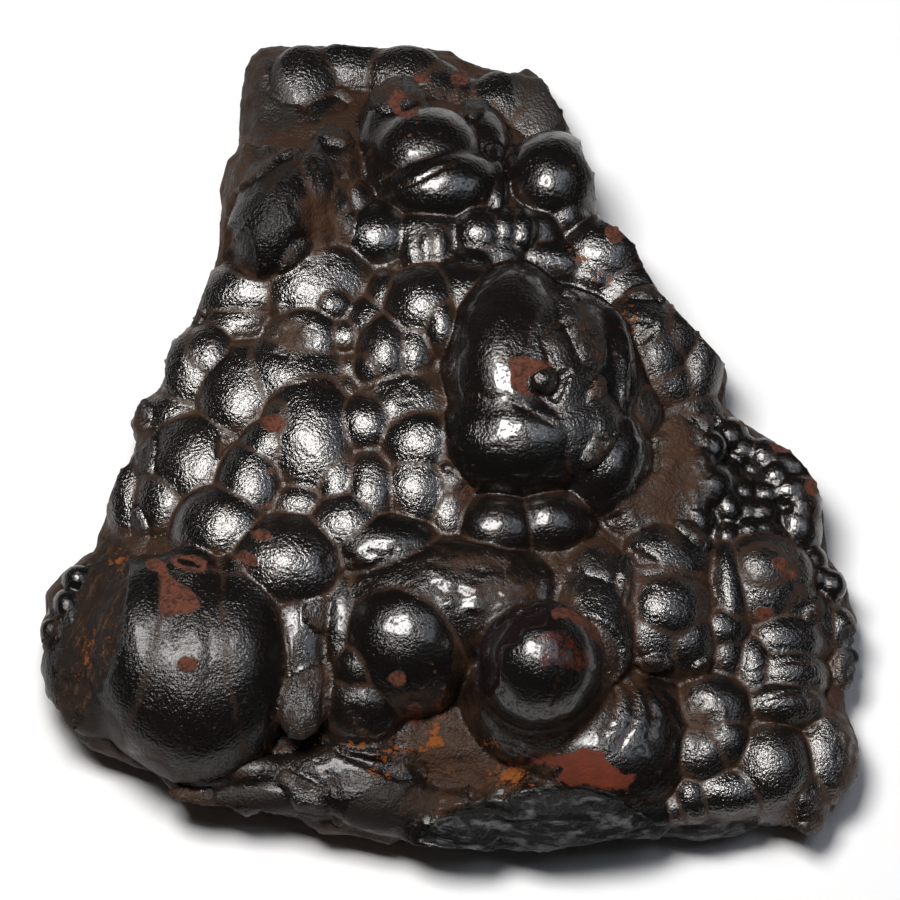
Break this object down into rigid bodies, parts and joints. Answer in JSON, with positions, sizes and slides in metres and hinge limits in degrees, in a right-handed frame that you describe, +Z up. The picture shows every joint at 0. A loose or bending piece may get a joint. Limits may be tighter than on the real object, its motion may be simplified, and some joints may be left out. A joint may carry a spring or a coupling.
{
  "type": "botryoidal hematite specimen",
  "caption": "Kidney ore specimen that lies on its flat back: a low bed of iron ore covered in rounded, glossy black lumps grown into each other, with a nearly free ball and a broken chunk.",
  "frame": {"origin": "under the middle of the specimen's bounding box, on the flat face it rests on", "axes": "+Z up away from the flat back, through the lumps; +Y from the broad end with the great barrel to the narrow end; +X across, barrel at -X"},
  "size_m": [0.1471, 0.1609, 0.0378],
  "materials": {
    "hematite": "glossy near-black iron ore with a warm brown tint, matte brown and terracotta in the hollows"
  },
  "bodies": {
    "root": {"hematite_specimen": "hematite"}
  },
  "joints": []
}
